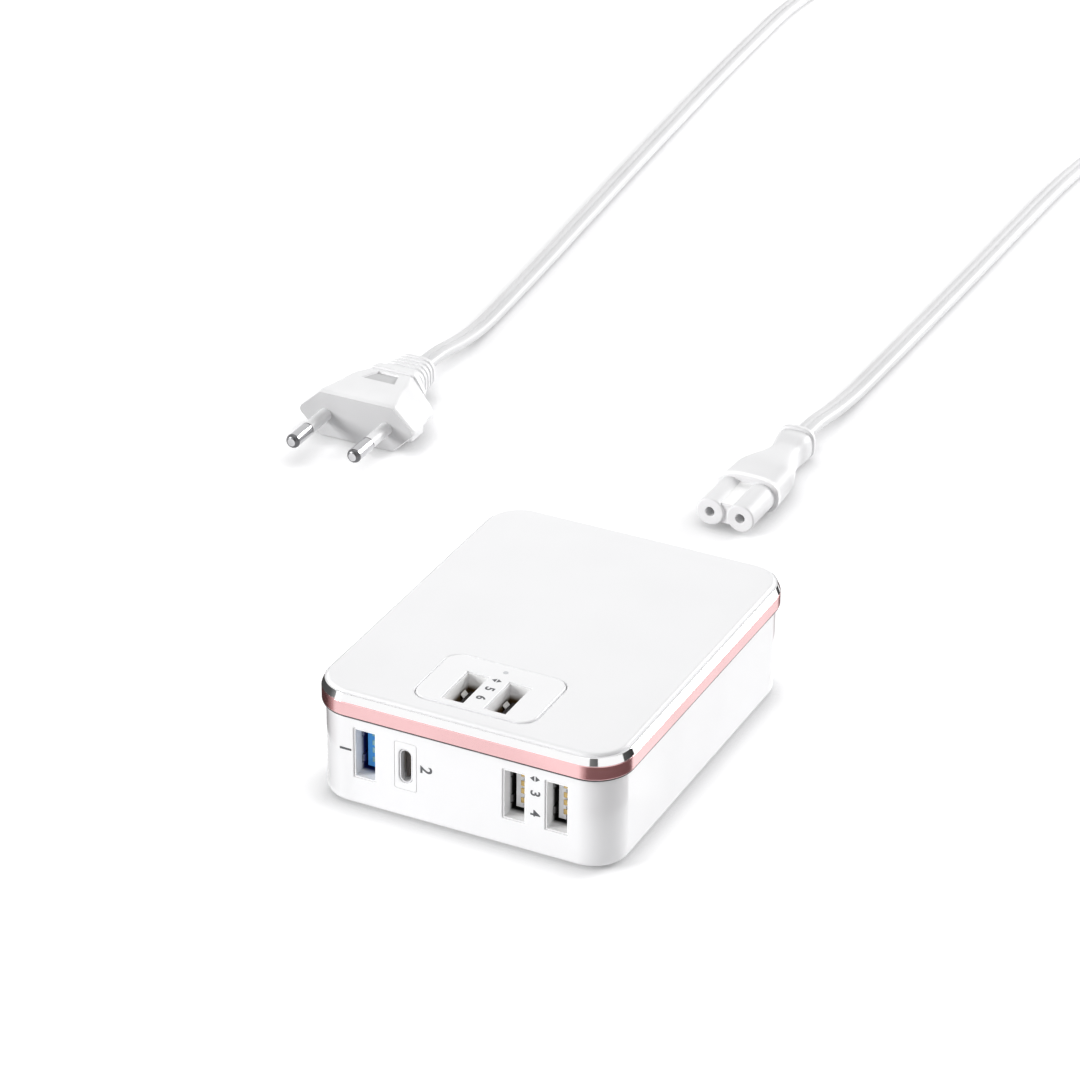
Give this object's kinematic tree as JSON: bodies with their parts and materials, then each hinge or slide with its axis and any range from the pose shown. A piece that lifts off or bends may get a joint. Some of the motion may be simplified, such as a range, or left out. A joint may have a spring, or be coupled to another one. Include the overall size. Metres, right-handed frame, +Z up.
{
  "type": "usb power strip",
  "caption": "Flat rounded white charging block with sockets in its front and top, a rose band under a bright trim ring, and a detached flat mains lead with its plug.",
  "frame": {"origin": "middle of the charging block's footprint, on the surface that it and its lead rest on", "axes": "+Y from the front ports towards the mains inlet, +X to the right as the front ports are seen, +Z up"},
  "size_m": [0.1999, 0.5851, 0.031],
  "materials": {
    "case_white": "polished white moulding",
    "frame_grey": "plain moulding, seen only in the shadow gap",
    "band_rose": "satin rose finish",
    "trim_bright": "polished bevel",
    "plate_white": "fine satin texture",
    "panel_white": "smooth white",
    "light_pipe": "translucent",
    "lamp": "clear resin",
    "shell_steel": "nickel plated",
    "tongue_blue": "bright blue moulding",
    "tongue_white": "white moulding",
    "tongue_dark": "dark moulding",
    "contact_gold": "gold plated",
    "board_green": "solder mask",
    "header_black": "moulded",
    "ferrite": "sintered",
    "tape_yellow": "tape",
    "can_dark": "sleeved can",
    "copper_winding": "enamelled wire",
    "sink_aluminium": "bare sheet",
    "inlet_black": "moulded",
    "pin_metal": "nickel plated",
    "screw_steel": "zinc plated",
    "foot_rubber": "soft matt",
    "lead_white": "soft moulding",
    "sleeve_white": "insulating sleeve",
    "cord_white": "soft sheath",
    "strap_white": "hook and loop strap"
  },
  "bodies": {
    "root": {"lower_case": "case_white", "inner_frame": "frame_grey", "accent_band": "band_rose", "trim_ring": "trim_bright", "top_plate": "plate_white", "port_panel": "panel_white", "light_pipe": "light_pipe", "status_lamp": "lamp", "socket_1_shell": "shell_steel", "socket_1_tongue": "tongue_blue", "socket_1_contacts": "contact_gold", "oval_insert": "case_white", "oval_shell": "shell_steel", "oval_tongue": "tongue_dark", "oval_contacts": "contact_gold", "socket_3_shell": "shell_steel", "socket_3_tongue": "tongue_white", "socket_3_contacts": "contact_gold", "socket_4_shell": "shell_steel", "socket_4_tongue": "tongue_white", "socket_4_contacts": "contact_gold", "socket_5_shell": "shell_steel", "socket_5_tongue": "tongue_dark", "socket_5_contacts": "contact_gold", "socket_6_shell": "shell_steel", "socket_6_tongue": "tongue_dark", "socket_6_contacts": "contact_gold", "main_board": "board_green", "top_port_board": "board_green", "board_link": "header_black", "transformer_core": "ferrite", "transformer_winding": "tape_yellow", "bulk_capacitors": "can_dark", "output_capacitors": "can_dark", "line_choke": "copper_winding", "film_capacitor": "tape_yellow", "fuse": "header_black", "bridge_rectifier": "header_black", "heat_sink": "sink_aluminium", "inlet_housing": "inlet_black", "inlet_pins": "pin_metal", "case_screws": "screw_steel", "rubber_feet": "foot_rubber", "connector_body": "lead_white", "connector_terminals": "contact_gold", "plug_body": "lead_white", "plug_pins": "pin_metal", "pin_sleeves": "sleeve_white", "cord_connector_side": "cord_white", "cord_plug_side": "cord_white", "cord_coil": "cord_white", "coil_strap": "strap_white"}
  },
  "joints": []
}
